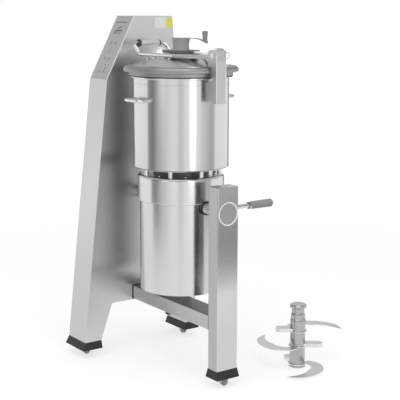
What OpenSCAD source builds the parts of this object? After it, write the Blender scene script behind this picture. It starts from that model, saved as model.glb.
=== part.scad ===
/* [Footprint] */
// Distance from the bowl axis forward to the front edge of the front foot
front_reach = 300; // [296:1:320]
// Distance from the bowl axis back to the rear edge of the cutter that stands beside
back_reach = 568; // [540:1:600]

/* [Feet] */
// Height of the underside of the foot caps above the floor
cap_gap = 35; // [34:0.5:38]
// Height of a foot cap
cap_h = 35; // [34:0.5:40]
// Flare of a foot cap on each side
cap_flare = 9; // [4:0.5:11]
// Distance that the console's foot caps stand out at the side
cap_side = 12.5; // [6:0.5:16]
// Wall of a foot cap
cap_wall = 3; // [2:0.5:4]
// Diameter of a castor wheel
wheel_d = 42; // [38:1:44]
// Width of a castor wheel
wheel_w = 16; // [12:1:20]
// Distance that the wheel trails behind its swivel
castor_trail = 8; // [4:1:10]
// Diameter of the castor's axle
axle_d = 8; // [6:0.5:10]
// Diameter of the castor's stem
stem_d = 12; // [10:0.5:14]
// Thickness of a castor fork's cheek
cheek_t = 2.5; // [2:0.25:3]

/* [Console] */
// Distance from the bowl axis to the inner side of the console
console_x = 294.5; // [290:0.5:300]
// Width of the console from side to side
console_w = 141.5; // [136:0.5:141.5]
// Depth of the console at its foot in front of the bowl axis
console_front = 289; // [286:1:290]
// Depth of the console at its foot behind the bowl axis
console_back = 292; // [288:1:300]
// Drop from the console's top to the bend under the control panel
panel_drop = 259; // [250:1:270]
// Distance from the bowl axis forward to that bend
panel_low_y = 165; // [160:1:170]
// Distance from the bowl axis forward to the top edge
panel_top_y = 29; // [20:1:40]
// Distance from the bowl axis back to the rear top edge
console_top_back = 159; // [150:1:170]
// Height of the console
console_h = 1435; // [1400:1:1460]
// Length of a console leg at the floor
leg_len = 78; // [74:1:84]
// Height of the arch between the console's legs
arch_z = 224; // [210:1:230]
// Lean of the arch's sides
arch_lean = 56; // [45:1:65]
// Thickness of the sheet metal
sheet = 2.5; // [2:0.25:4]
// Thickness of the control panel plate
panel_t = 4; // [3:0.5:5]

/* [Frame] */
// Width of the beam and of the post, from front to back
tube_w = 100; // [90:1:110]
// Thickness of the beam and of the post
tube_t = 60; // [56:1:64]
// Wall of the frame tubes
tube_wall = 3; // [2.5:0.5:5]
// Outer corner radius of the frame tubes
tube_r = 5; // [4:0.5:8]
// Height of the beam's underside
beam_z = 226.5; // [220:0.5:240]
// Distance from the bowl axis to the post's inner face
post_x = 254.5; // [250:0.5:262]
// Height of the post's top above the tilting axis
post_over = 103; // [86:1:126]
// Height of the tilting axis
pivot_z = 694; // [680:1:710]

/* [Trunnions] */
// Diameter of the trunnion shafts
trunnion_d = 36; // [30:1:44]
// Radial clearance of the trunnion shafts in their bushes
trunnion_gap = 0.05; // [0.02:0.01:0.08]
// Outer diameter of the trunnion bushes
bush_d = 52; // [48:1:58]
// Diameter of the bright ring on the post
pivot_ring_d = 92; // [86:1:96]
// Distance from the bowl axis to the lever's centre line
lever_x = 222; // [215:1:226]
// Diameter of the lever rod
lever_d = 18; // [14:1:22]
// Distance from the bowl axis to the end of the lever's grip
lever_reach = 290; // [270:1:310]
// Length of the lever's grip
grip_len = 108; // [90:1:120]
// Diameter of the lever's grip
grip_d = 33; // [28:1:38]

/* [Motor] */
// Radius of the motor housing
motor_r = 167; // [160:1:168]
// Height of the motor housing's underside
motor_z = 343; // [335:1:360]
// Height of the seam under the motor's top cover
motor_seam_z = 711; // [708:1:716]
// Height of the motor's top
motor_top_z = 815; // [810:1:816]
// Distance that the motor's top cover stands out past the housing
cover_out = 8.5; // [5:0.5:11]
// Wall of the motor housing
motor_wall = 3; // [2:0.5:5]
// Diameter of the drive shaft where the cutter sits
shaft_d = 34; // [30:1:35]
// Diameter of the drive shaft below the cutter
shaft_low_d = 38; // [37:1:42]
// Distance that the drive shaft stands above the bowl's floor
shaft_reach = 150; // [120:1:180]

/* [Bowl] */
// Outer radius of the bowl
bowl_r = 193; // [190:0.5:194]
// Wall of the bowl
bowl_wall = 2.5; // [2:0.25:4]
// Height of the gap between the motor and the bowl
bowl_gap = 28; // [24:1:34]
// Height of the bowl's rim
bowl_top_z = 1203; // [1190:1:1204]
// Width of the bowl's rim
rim_w = 11; // [8:0.5:14]
// Thickness of the bowl's rim
rim_t = 3; // [2:0.5:4]
// Inner corner radius at the bowl's floor
bowl_corner = 24; // [10:1:40]
// Height of the chimney round the drive shaft
chimney_h = 18; // [14:1:24]
// Radius of the circle of the spacer studs
stud_pitch_r = 158; // [150:1:160]
// Diameter of a spacer stud
stud_d = 17; // [14:1:20]
// Height of the bowl handles
handle_z = 1115; // [1090:1:1130]
// Distance of a handle's bar from the bowl's wall
handle_out = 40; // [34:1:46]
// Length of a handle's bar
handle_len = 100; // [90:1:110]
// Diameter of the handle bars
handle_d = 14; // [12:1:18]

/* [Lid] */
// Distance that the lid ring stands out past the bowl
ring_out = 36; // [33:1:37]
// Distance that the ring's lower skirt stands out past the bowl
skirt_out = 14; // [12:1:18]
// Height of the lid ring's underside
ring_z = 1207.5; // [1206:0.5:1210]
// Height of the flange's underside
flange_z = 1221; // [1218:1:1226]
// Height of the lid ring's top
ring_top_z = 1244; // [1240:1:1248]
// Distance that the lid ring stands in from the bowl's outer wall
ring_in = 7; // [5:1:11]
// Rise of the lid's dome
dome_rise = 32; // [24:1:36]
// Thickness of the dome
dome_t = 2.5; // [2:0.25:4]
// Diameter of the lid yoke's rod
yoke_d = 16; // [14:1:17]
// Height of the lid yoke's rod
yoke_z = 1284; // [1284:1:1288]
// Distance from the lid's centre line to the yoke's straight bars
yoke_y = 78; // [72:1:82]
// Distance from the bowl axis to the yoke's grip
yoke_grip_x = 230; // [226:1:240]
// Rise of the yoke's grip above its bars
yoke_lift = 42; // [36:1:46]
// Outer diameter of the yoke's grip sleeve
sleeve_d = 23; // [20:1:26]
// Length of the yoke's grip sleeve
sleeve_len = 92; // [80:1:96]
// Distance from the bowl's wall to the lid's hinge
hinge_out = 50; // [49:1:53]
// Height of the lid's hinge
hinge_z = 1290; // [1288:1:1294]
// Diameter of the lid's hinge pin
hinge_pin_d = 12; // [10:1:16]
// Radius of the knuckle that turns on the hinge pin
knuckle_r = 29; // [24:1:31]
// Outer width of the hinge bracket
bracket_w = 48; // [44:1:52]
// Cheek thickness of the hinge bracket
bracket_cheek = 7; // [5:0.5:7.5]
// Thickness of the bracket's strap
strap_t = 22; // [16:1:24]
// Height of the strap's lower end
strap_z = 1110; // [1090:1:1130]
// Distance of the filling hole from the bowl axis
fill_x = 146; // [142:1:148]
// Radius of the filling cap
fill_r = 50; // [46:1:52]
// Radius of the filling hole
fill_hole_r = 32; // [28:1:34]
// Height of the filling cap above the hole's collar
fill_h = 38; // [30:1:40]

/* [Wiper] */
// Rim radius of the wiper's hub
hub_rim_r = 36; // [32:1:38]
// Waist radius of the wiper's hub
hub_waist_r = 29; // [26:1:31]
// Height of the hub's top
hub_top_z = 1352; // [1345:1:1356]
// Height of the hub's underside
hub_z = 1288; // [1286:1:1290]
// Direction of the crank, measured from the hinge side
crank_turn = 28; // [0:1:60]
// Distance from the hub's axis to the crank's knob
crank_len = 105; // [90:1:120]
// Diameter of the crank's knob
knob_d = 23; // [18:1:28]
// Height of the crank's knob
knob_h = 38; // [30:1:45]
// Diameter of the wiper's shaft
wiper_shaft_d = 16; // [12:1:20]

/* [Cutter] */
// Diameter of the cutter's hub sleeves
cutter_d = 63; // [60:1:68]
// Overall height of the cutter
cutter_h = 268; // [260:1:276]
// Radial clearance of the cutter on the drive shaft
cutter_gap = 0.05; // [0.03:0.01:0.09]
// Reach of a blade's tip
blade_r = 186; // [180:1:188]
// Thickness of a blade
blade_t = 4; // [3:0.5:5]
// Thickness of a blade's counterweight
weight_t = 15; // [10:1:18]
// Height of the lower blade above the floor
blade_low_z = 12; // [10:1:16]
// Height of the middle blade above the floor
blade_mid_z = 88; // [80:1:96]
// Height of the upper blade above the floor
blade_up_z = 152; // [146:1:164]

/* [Hidden] */
$fn = 96;
tiny = 0.01;
seat = 0.3;
axis_y = (front_reach - back_reach) / 2;
side_reach = console_x + console_w + cap_side;
leg_z = cap_gap + cap_h;
post_h = pivot_z + post_over;
cover_r = motor_r + cover_out;
panel_low_z = console_h - panel_drop;
bowl_z = motor_top_z + bowl_gap;
ring_r = bowl_r + ring_out;
skirt_r = bowl_r + skirt_out;
ring_in_r = bowl_r - ring_in;
hinge_x = bowl_r + hinge_out;
motor_gap = 0.3;

module at_axis() translate([0, axis_y, 0]) children();

// Plain outlines and helpers
function inset(p, d) = [for (i = [0:len(p) - 1])
    let (a = p[(i + len(p) - 1) % len(p)], b = p[i], c = p[(i + 1) % len(p)],
        u = (b - a) / norm(b - a), v = (c - b) / norm(c - b),
        m = [-u[1], u[0]], n = [-v[1], v[0]])
    b + (m + n) * d / (1 + m * n)];

module rounded_rect(w, h, r) {
    square([w - 2 * r, h], center = true);
    square([w, h - 2 * r], center = true);
    for (x = [-1, 1], y = [-1, 1])
        translate([x * (w / 2 - r), y * (h / 2 - r)]) circle(r);
}

module tube_section(w, h) difference() {
    rounded_rect(w, h, tube_r);
    rounded_rect(w - 2 * tube_wall, h - 2 * tube_wall, tube_r - tube_wall / 2);
}

module along_x(x, y, z) translate([x, y, z]) rotate([0, 90, 0]) children();
module along_y(x, y, z) translate([x, y, z]) rotate([-90, 0, 0]) children();

module rod(a, b, d) {
    v = b - a;
    translate(a)
        rotate([0, acos(v[2] / norm(v)), atan2(v[1], v[0])])
            cylinder(d = d, h = norm(v), $fn = 48);
}

// Rod along points, bent with radius r at each inner point, with a low weld bead at each end of a bend
function unit(v) = v / norm(v);
function half_turn(a, b, c) = acos(max(-1, min(1, unit(b - a) * unit(c - b)))) / 2;
bead_len = 3;
bead_rise = 0.3;

module bend(a, b, c, r, d) {
    u = unit(b - a);
    v = unit(c - b);
    t = half_turn(a, b, c);
    start = b - u * r * tan(t);
    x = (start - b - unit(v - u) * r / cos(t)) / r;
    z = cross(x, u);
    middle = start - x * r;
    end = b + v * r * tan(t);
    multmatrix([[x[0], u[0], z[0], middle[0]], [x[1], u[1], z[1], middle[1]], [x[2], u[2], z[2], middle[2]]])
        rotate_extrude(angle = 2 * t) translate([r, 0]) circle(d = d, $fn = 48);
    rod(start - u * bead_len / 2, start + u * bead_len / 2, d + 2 * bead_rise);
    rod(end - v * bead_len / 2, end + v * bead_len / 2, d + 2 * bead_rise);
}

module rod_path(p, r, d) {
    last = len(p) - 1;
    for (i = [1:last]) {
        u = unit(p[i] - p[i - 1]);
        from = i == 1 ? 0 : r * tan(half_turn(p[i - 2], p[i - 1], p[i])) + bead_len / 6;
        to = i == last ? 0 : r * tan(half_turn(p[i - 1], p[i], p[i + 1])) + bead_len / 6;
        rod(p[i - 1] + u * from, p[i] - u * to, d);
    }
    for (i = [1:last - 1]) bend(p[i - 1], p[i], p[i + 1], r, d);
}

// Console
console_lo = -console_x - console_w;
front_leg_y = leg_len - console_front;
rear_leg_y = console_back - leg_len + 12;
console_profile = [[-console_front, leg_z], [front_leg_y, leg_z], [front_leg_y + arch_lean, arch_z],
    [rear_leg_y - arch_lean + 8, arch_z], [rear_leg_y, leg_z], [console_back, leg_z],
    [console_top_back, console_h], [-panel_top_y, console_h], [-panel_low_y, panel_low_z]];
panel_angle = atan2(panel_low_y - panel_top_y, console_h - panel_low_z);
panel_len = norm([panel_low_y - panel_top_y, console_h - panel_low_z]);
rear_angle = atan2(console_back - console_top_back, console_h - leg_z);
rear_low_z = 300;
rear_high_z = console_h - 40;
vent_drop = 135;
rear_margin = 14;
panel_margin = 5;
gland_d = 22;
gland_up = 190;
plate_gap = 0.3;

module console_slab(p, w, x) translate([x, 0, 0]) rotate([90, 0, 90]) linear_extrude(w) polygon(p);

// Panel frame: x across, y up the slope, z out of the face
module on_panel() translate([-console_x - console_w / 2, -panel_low_y, panel_low_z])
    rotate([90 - panel_angle, 0, 0]) children();

// Rear face frame: x across, y up the slope, z out of the face
module on_rear() translate([-console_x - console_w / 2, console_back, leg_z])
    rotate([0, 0, 180]) rotate([90 - rear_angle, 0, 0]) children();

panel_w = console_w - 2 * sheet;
panel_h = panel_len - 2 * panel_margin;

module console_body() color([0.78, 0.78, 0.79]) at_axis() difference() {
    console_slab(console_profile, console_w, console_lo);
    console_slab(inset(console_profile, sheet), console_w - 2 * sheet, console_lo + sheet);
    on_panel() translate([-panel_w / 2, panel_margin, -panel_t - plate_gap])
        cube([panel_w, panel_h, panel_t + 20]);
    on_rear() translate([-console_w / 2 + rear_margin, rear_low_z - leg_z, -sheet - 20])
        cube([console_w - 2 * rear_margin, rear_high_z - rear_low_z, 40]);
    along_x(-console_x - sheet - 1, 0, pivot_z) cylinder(d = bush_d, h = sheet + 2);
    on_rear() translate([0, gland_up, -sheet - 5]) cylinder(d = gland_d, h = 20);
    for (y = [-front_swivel_y, rear_swivel_y]) translate([console_foot_x, y, leg_z - 1])
        cylinder(d = stem_d + 10, h = sheet + 2);
}

rear_lap = 8;
screw_d = 7;
module rear_cover() color([0.75, 0.75, 0.76]) at_axis() on_rear() {
    w = console_w - 2 * rear_margin + 2 * rear_lap;
    h = rear_high_z - rear_low_z + 2 * rear_lap;
    difference() {
        translate([-w / 2, rear_low_z - leg_z - rear_lap, 0.05]) cube([w, h, 1.5]);
        for (i = [0:9]) translate([-40, 60 + rear_low_z - leg_z + i * 12, -1]) cube([80, 4, 4]);
        for (i = [0:9]) translate([-40, rear_high_z - vent_drop - leg_z - i * 12, -1]) cube([80, 4, 4]);
    }
    for (x = [-1, 1], i = [0:3])
        translate([x * (w / 2 - 4), rear_low_z - leg_z + 20 + i * (h - 56) / 3, 1.55])
            cylinder(d = screw_d, h = 2, $fn = 24);
}

key_d = 10;
key_gap = 0.4;
key_out = 1.6;
key_left = -23;
key_right = 11;
key_rows = [167, 96, 35];
lamp_places = [[-7, 137], [-7, 123], [5, 66], [13, 49]];
lamp_d = 5;
display_x = -3;
display_y = 215;
display_w = 46;
display_h = 16;
function key_place(i) = [i % 2 == 0 ? key_left : key_right, key_rows[floor(i / 2)]];

module control_panel() color([0.66, 0.66, 0.67]) at_axis() on_panel() difference() {
    translate([-panel_w / 2 + plate_gap, panel_margin + plate_gap, -panel_t])
        cube([panel_w - 2 * plate_gap, panel_h - 2 * plate_gap, panel_t]);
    for (i = [0:5]) translate([key_place(i)[0], key_place(i)[1], -panel_t - 1])
        cylinder(d = key_d + 2 * key_gap, h = panel_t + 2);
    for (p = lamp_places) translate([p[0], p[1], -panel_t - 1]) cylinder(d = lamp_d, h = panel_t + 2);
    translate([display_x - display_w / 2, display_y - display_h / 2, -panel_t - 1])
        cube([display_w, display_h, panel_t + 2]);
}

module display_window() color([0.1, 0.12, 0.13]) at_axis() on_panel()
    translate([display_x - display_w / 2 + 0.1, display_y - display_h / 2 + 0.1, -panel_t])
        cube([display_w - 0.2, display_h - 0.2, panel_t - 0.5]);

module indicator_lamps() color([0.5, 0.55, 0.5]) at_axis() on_panel()
    for (p = lamp_places) translate([p[0], p[1], -panel_t]) cylinder(d = lamp_d - 0.1, h = panel_t + 0.6);

key_travel = 1;
board_t = 1.6;
board_gap = 8;
board_w = panel_w - 32.5;
module control_board() color([0.1, 0.4, 0.2]) at_axis() on_panel() {
    translate([-board_w / 2, 14, -panel_t - board_gap - board_t]) cube([board_w, panel_h - 18, board_t]);
    for (i = [0:5]) translate([key_place(i)[0], key_place(i)[1], -panel_t - board_gap - tiny])
        cylinder(d = 6, h = board_gap - key_foot - key_travel - 0.3 + tiny, $fn = 32);
    for (x = [-1, 1], y = [22, panel_h - 10])
        translate([x * (board_w / 2 - 6), y, -panel_t - board_gap - tiny])
        cylinder(d = 7, h = board_gap + tiny, $fn = 32);
}

key_foot = 2;
module key(i) color([0.6, 0.61, 0.62]) at_axis() on_panel()
    translate([key_place(i)[0], key_place(i)[1], 0]) {
        translate([0, 0, -panel_t - tiny]) cylinder(d = key_d, h = panel_t + key_out + tiny);
        translate([0, 0, -panel_t - key_foot]) cylinder(d = key_d + 3, h = key_foot - 0.3);
        translate([0, 0, -panel_t - 0.5]) cylinder(d = key_d, h = 0.6);
    }
module key_1() key(0);
module key_2() key(1);
module key_3() key(2);
module key_4() key(3);
module key_5() key(4);
module key_6() key(5);

drive_h = 320;
drive_w = 150;
drive_out = console_w - 61.5;
drive_drop = 675;
drive_z = console_h - drive_drop;
drive_back = 90;
fin_step = 12;
module motor_drive() color([0.3, 0.3, 0.32]) at_axis()
    translate([console_lo + sheet, drive_back - drive_w, drive_z]) {
        cube([3, drive_w, drive_h]);
        translate([3, 0.1 * drive_w, 20]) cube([drive_out, 0.8 * drive_w, drive_h - 40]);
        for (i = [0:8]) translate([3 + drive_out - tiny, 0.15 * drive_w + i * fin_step, 40])
            cube([14, 4, drive_h - 80]);
    }

// Frame
module beam() color([0.72, 0.72, 0.73]) at_axis()
    along_x(-console_x, 0, beam_z + tube_t / 2) rotate([0, 0, 90])
        linear_extrude(console_x + post_x) tube_section(tube_w, tube_t);

post_cx = post_x + tube_t / 2;
module post() color([0.74, 0.74, 0.75]) at_axis() difference() {
    union() {
        translate([post_cx, 0, leg_z]) linear_extrude(post_h - leg_z - lid_plate)
            tube_section(tube_t, tube_w);
        along_x(post_x + 1, 0, pivot_z) cylinder(d = bush_d + 16, h = tube_t - 2);
    }
    along_x(post_x - 1, 0, pivot_z) cylinder(d = bush_d, h = tube_t + 2);
}

lid_plate = 4;
module post_lid() color([0.8, 0.8, 0.81]) at_axis() {
    translate([post_cx, 0, post_h - lid_plate]) linear_extrude(lid_plate)
        rounded_rect(tube_t, tube_w, tube_r);
    translate([post_cx, 0, post_h - lid_plate - 12]) linear_extrude(12 + tiny)
        rounded_rect(tube_t - 2 * tube_wall - 0.6, tube_w - 2 * tube_wall - 0.6, tube_r - tube_wall / 2);
}

// Feet
console_foot_x = -console_x - console_w / 2;
module slab(x0, x1, y0, y1, z) translate([x0, y0, z]) cube([x1 - x0, y1 - y0, tiny]);

module foot_cap(x0, x1, y0, y1, fx0, fx1, fy0, fy1) difference() {
    hull() {
        slab(x0 - fx0, x1 + fx1, y0 - fy0, y1 + fy1, cap_gap);
        slab(x0, x1, y0, y1, leg_z - tiny);
    }
    hull() {
        slab(x0 - fx0 + cap_wall, x1 + fx1 - cap_wall, y0 - fy0 + cap_wall, y1 + fy1 - cap_wall,
            cap_gap - tiny);
        slab(x0 + cap_wall, x1 - cap_wall, y0 + cap_wall, y1 - cap_wall, leg_z);
    }
}

module foot_cap_front() color([0.15, 0.15, 0.16]) at_axis()
    foot_cap(console_lo, -console_x, -console_front, front_leg_y,
        cap_side, cap_flare / 3, front_reach - console_front, cap_flare / 2);
module foot_cap_rear() color([0.15, 0.15, 0.16]) at_axis()
    foot_cap(console_lo, -console_x, rear_leg_y, console_back,
        cap_side, cap_flare / 3, cap_flare / 2, cap_flare);
module foot_cap_post() color([0.15, 0.15, 0.16]) at_axis()
    foot_cap(post_x, post_x + tube_t, -tube_w / 2, tube_w / 2,
        cap_flare, cap_flare, cap_flare / 2, cap_flare / 2);

front_swivel_y = (console_front - front_leg_y) / 2;
rear_swivel_y = (console_back + rear_leg_y) / 2;
plate_z = leg_z - 8;
module castor_plate(x, y, w, h) translate([x, y, plate_z]) difference() {
    linear_extrude(leg_z - plate_z) square([w, h], center = true);
    translate([0, 0, -1]) cylinder(d = stem_d + 0.1, h = 12);
}

cap_in = 2 * cap_wall + 0.6;
module castor_plates() color([0.5, 0.5, 0.52]) at_axis() {
    castor_plate(console_foot_x, -front_swivel_y, console_w - cap_in, front_leg_y + console_front - cap_in);
    castor_plate(console_foot_x, rear_swivel_y, console_w - cap_in, console_back - rear_leg_y - cap_in);
    castor_plate(post_cx, 0, tube_t - cap_in, tube_w - cap_in);
}

fork_w = wheel_w + 2;
crown_z = wheel_d + 3;
module fork(x, y) color([0.7, 0.7, 0.72]) at_axis() translate([x, y, 0]) {
    translate([0, 0, crown_z]) cylinder(d = fork_w + 2 * cheek_t + 6, h = plate_z - seat - crown_z);
    translate([0, 0, plate_z - seat - tiny]) cylinder(d = stem_d, h = leg_z - plate_z + 5 + seat);
    for (s = [-1, 1]) translate([-6, s * (fork_w + cheek_t) / 2 - cheek_t / 2, 0]) {
        translate([0, 0, wheel_d / 2]) cube([castor_trail + 12, cheek_t, crown_z - wheel_d / 2 + tiny]);
        translate([castor_trail + 6, 0, wheel_d / 2]) rotate([-90, 0, 0]) cylinder(d = 12, h = cheek_t);
    }
    along_y(castor_trail, -fork_w / 2 - cheek_t, wheel_d / 2) cylinder(d = axle_d, h = fork_w + 2 * cheek_t);
}
module fork_front() fork(console_foot_x, -front_swivel_y);
module fork_rear() fork(console_foot_x, rear_swivel_y);
module fork_post() fork(post_cx, 0);

module wheel(x, y) color([0.72, 0.72, 0.72]) at_axis() along_y(x + castor_trail, y, wheel_d / 2)
    rotate_extrude() polygon([[axle_d / 2 + 0.05, -wheel_w / 2], [wheel_d / 2 - 3, -wheel_w / 2],
        [wheel_d / 2, -wheel_w / 2 + 4], [wheel_d / 2, wheel_w / 2 - 4], [wheel_d / 2 - 3, wheel_w / 2],
        [axle_d / 2 + 0.05, wheel_w / 2]]);
module wheel_front() wheel(console_foot_x, -front_swivel_y);
module wheel_rear() wheel(console_foot_x, rear_swivel_y);
module wheel_post() wheel(post_cx, 0);

// Bushes, ring and gland
module bush(x, h) along_x(x, 0, pivot_z) difference() {
    cylinder(d = bush_d, h = h);
    translate([0, 0, -1]) cylinder(d = trunnion_d + 2 * trunnion_gap, h = h + 2);
}
bush_lip = 6;
console_bush_h = 40;
module pivot_bushes() color([0.72, 0.6, 0.3]) at_axis() {
    bush(post_x, tube_t - 4);
    bush(-console_x - console_bush_h, console_bush_h);
    along_x(-console_x - sheet - bush_lip, 0, pivot_z) difference() {
        cylinder(d = bush_d + 20, h = bush_lip);
        translate([0, 0, -1]) cylinder(d = bush_d - 2, h = bush_lip + 2);
    }
}
module pivot_ring() color([0.9, 0.9, 0.9]) at_axis() along_x(post_x + tube_t, 0, pivot_z) {
    difference() {
        cylinder(d = pivot_ring_d, h = 2);
        translate([0, 0, 1]) cylinder(d = pivot_ring_d - 6, h = 2);
    }
    translate([0, 0, -3]) cylinder(d = bush_d - 0.2, h = 3 + tiny);
}

module cable_gland() color([0.2, 0.2, 0.21]) at_axis() on_rear() translate([0, gland_up, 0])
    rotate_extrude() polygon([[7, 14], [gland_d / 2 - 2, 14], [gland_d / 2 - 1, 0], [gland_d / 2, 0],
        [gland_d / 2, -sheet], [gland_d / 2 + 4, -sheet], [gland_d / 2 + 4, -sheet - 8], [7, -sheet - 8]]);

// Motor
cover_round = 14;
function arc(cx, cy, r, a0, a1, n) = [for (i = [0:n]) let (a = a0 + (a1 - a0) * i / n)
    [cx + r * cos(a), cy + r * sin(a)]];

shaft_seal_d = 70;
module motor_cover() color([0.8, 0.8, 0.81]) at_axis() difference() {
    rotate_extrude() polygon(concat(
        [[motor_r + motor_gap, motor_seam_z], [cover_r, motor_seam_z]],
        arc(cover_r - cover_round, motor_top_z - cover_round, cover_round, 0, 90, 10),
        [[shaft_seal_d / 2, motor_top_z], [shaft_seal_d / 2, motor_top_z - motor_wall]],
        [[cover_r - cover_round, motor_top_z - motor_wall]],
        arc(cover_r - cover_round, motor_top_z - cover_round, cover_round - motor_wall, 80, 0, 8),
        [[cover_r - motor_wall, motor_seam_z + 30], [motor_r + motor_gap, motor_seam_z + 30]]));
    trunnion_holes(trunnion_flange_d + 1);
}

trunnion_in = motor_r - 17;
module trunnion_holes(d) for (s = [0, 1]) mirror([s, 0, 0]) along_x(trunnion_in - 20, 0, pivot_z)
    cylinder(d = d, h = cover_r - trunnion_in + 40);

housing_top_z = motor_seam_z + 60;
module motor_housing() color([0.82, 0.82, 0.83]) at_axis() difference() {
    translate([0, 0, motor_z]) cylinder(r = motor_r, h = housing_top_z - motor_z);
    translate([0, 0, motor_z - 1]) cylinder(r = motor_r - motor_wall, h = housing_top_z - motor_z + 2);
    trunnion_holes(trunnion_d);
}

base_t = 6;
module motor_base() color([0.45, 0.45, 0.46]) at_axis() translate([0, 0, motor_z + 2]) difference() {
    union() {
        cylinder(r = motor_r - motor_wall - 0.1, h = base_t);
        cylinder(d = bearing_d + 20, h = base_t + bearing_h);
    }
    translate([0, 0, base_t]) cylinder(d = bearing_d, h = bearing_h + 1);
}

bearing_d = 80;
bearing_h = 24;
bearing_low_z = motor_z + 2 + base_t;
bearing_high_z = motor_top_z - motor_wall - bearing_h - 30;
module bearing_ring(z) translate([0, 0, z]) difference() {
    cylinder(d = bearing_d, h = bearing_h);
    translate([0, 0, -1]) cylinder(d = shaft_low_d + 0.1, h = bearing_h + 2);
}
module bearings() color([0.85, 0.85, 0.87]) at_axis() {
    bearing_ring(bearing_low_z);
    bearing_ring(bearing_high_z);
}

stator_r = 120;
stator_z = 410;
stator_h = 200;
rotor_r = 74;
module stator() color([0.4, 0.3, 0.2]) at_axis() {
    difference() {
        translate([0, 0, stator_z]) cylinder(r = stator_r, h = stator_h);
        translate([0, 0, stator_z - 1]) cylinder(r = rotor_r + 1.5, h = stator_h + 2);
    }
    for (a = [45:90:359]) rotate(a) translate([stator_r - 2, -8, stator_z + 20])
        cube([motor_r - motor_wall - stator_r + 1.5, 16, stator_h - 40]);
    difference() {
        translate([0, 0, bearing_high_z]) cylinder(d = bearing_d + 16, h = bearing_h + 30);
        translate([0, 0, bearing_high_z - 1]) cylinder(d = bearing_d, h = bearing_h + 1);
        translate([0, 0, bearing_high_z]) cylinder(d = shaft_seal_d, h = bearing_h + 31);
    }
}

module rotor() color([0.5, 0.5, 0.55]) at_axis() difference() {
    translate([0, 0, stator_z + 5]) cylinder(r = rotor_r, h = stator_h - 10);
    translate([0, 0, stator_z]) cylinder(d = shaft_low_d, h = stator_h);
}

shaft_low_z = bearing_low_z + 1;
bowl_floor_t = 5;
bowl_floor_z = bowl_z + bowl_floor_t;
shaft_top_z = bowl_floor_z + shaft_reach;
shoulder_z = bowl_floor_z + chimney_h + 2;
shaft_chamfer = 3;
module drive_shaft() color([0.85, 0.85, 0.86]) at_axis() {
    translate([0, 0, shaft_low_z]) cylinder(d = shaft_low_d, h = shoulder_z - shaft_low_z);
    translate([0, 0, shoulder_z - tiny])
        cylinder(d = shaft_d, h = shaft_top_z - shoulder_z - shaft_chamfer + tiny);
    translate([0, 0, shaft_top_z - shaft_chamfer - tiny])
        cylinder(d1 = shaft_d, d2 = shaft_d - 2 * shaft_chamfer, h = shaft_chamfer + tiny);
}

// Trunnions and lever
trunnion_flange_d = 50;
lever_seat = 20;
module trunnions() color([0.7, 0.7, 0.72]) at_axis() difference() {
    union() {
        along_x(trunnion_in, 0, pivot_z) cylinder(d = trunnion_d, h = post_x + tube_t - 6 - trunnion_in);
        along_x(cover_r + 2, 0, pivot_z) cylinder(d = trunnion_flange_d, h = post_x - seat - cover_r - 2);
        along_x(-console_x - console_bush_h + 4, 0, pivot_z)
            cylinder(d = trunnion_d, h = console_x + console_bush_h - 4 - trunnion_in);
        along_x(-console_x + seat, 0, pivot_z)
            cylinder(d = trunnion_flange_d, h = console_x - seat - cover_r - 2);
        for (s = [0, 1]) mirror([s, 0, 0]) along_x(trunnion_in - 8, 0, pivot_z) cylinder(d = 90, h = 8);
    }
    along_y(lever_x, -lever_seat, pivot_z) cylinder(d = lever_d, h = trunnion_flange_d + lever_seat);
}

module lever_rod() color([0.88, 0.88, 0.9]) at_axis()
    along_y(lever_x, 1 - lever_seat, pivot_z) cylinder(d = lever_d, h = lever_reach + lever_seat - 5);

module lever_grip() color([0.55, 0.56, 0.56]) at_axis() along_y(lever_x, lever_reach - grip_len, pivot_z)
    rotate_extrude() polygon([[lever_d / 2 + 0.05, 0], [grip_d / 2 - 2, 0], [grip_d / 2 - 1, 6],
        [grip_d / 2, grip_len - 6], [grip_d / 2 - 4, grip_len], [0, grip_len], [0, grip_len - 3.9],
        [lever_d / 2 + 0.05, grip_len - 3.9]]);

// Bowl
module spacer_studs() color([0.8, 0.8, 0.82]) at_axis()
    for (i = [0:7]) rotate(-95 + 45 * i) translate([stud_pitch_r, 0, motor_top_z])
        cylinder(d = stud_d, h = bowl_gap);

neck_r = 112;
neck_t = 6;
module shaft_neck() color([0.6, 0.6, 0.62]) at_axis() translate([0, 0, motor_top_z]) difference() {
    cylinder(r = neck_r, h = bowl_gap);
    translate([0, 0, -1]) cylinder(r = neck_r - neck_t, h = bowl_gap + 2);
}

shaft_hole_r = shaft_low_d / 2 + 4;
shaft_lip_r = shaft_low_d / 2 + 0.8;
chimney_r = shaft_low_d / 2 + 9;
bowl_in_r = bowl_r - bowl_wall;
module bowl() color([0.85, 0.85, 0.86]) at_axis() rotate_extrude($fn = 128) polygon(concat(
    [[shaft_hole_r, bowl_z], [bowl_r - 3, bowl_z], [bowl_r, bowl_z + 3], [bowl_r, bowl_top_z - rim_t - 4],
        [bowl_r + 2, bowl_top_z - rim_t], [bowl_r + rim_w, bowl_top_z - rim_t], [bowl_r + rim_w, bowl_top_z],
        [bowl_in_r, bowl_top_z]],
    arc(bowl_in_r - bowl_corner, bowl_floor_z + bowl_corner, bowl_corner, 0, -90, 8),
    [[chimney_r + 8, bowl_floor_z], [chimney_r, bowl_floor_z + 8], [chimney_r - 3, bowl_floor_z + chimney_h],
        [shaft_lip_r, bowl_floor_z + chimney_h], [shaft_lip_r, bowl_floor_z + chimney_h - 7],
        [shaft_hole_r, bowl_floor_z + chimney_h - 11]]));

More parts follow.
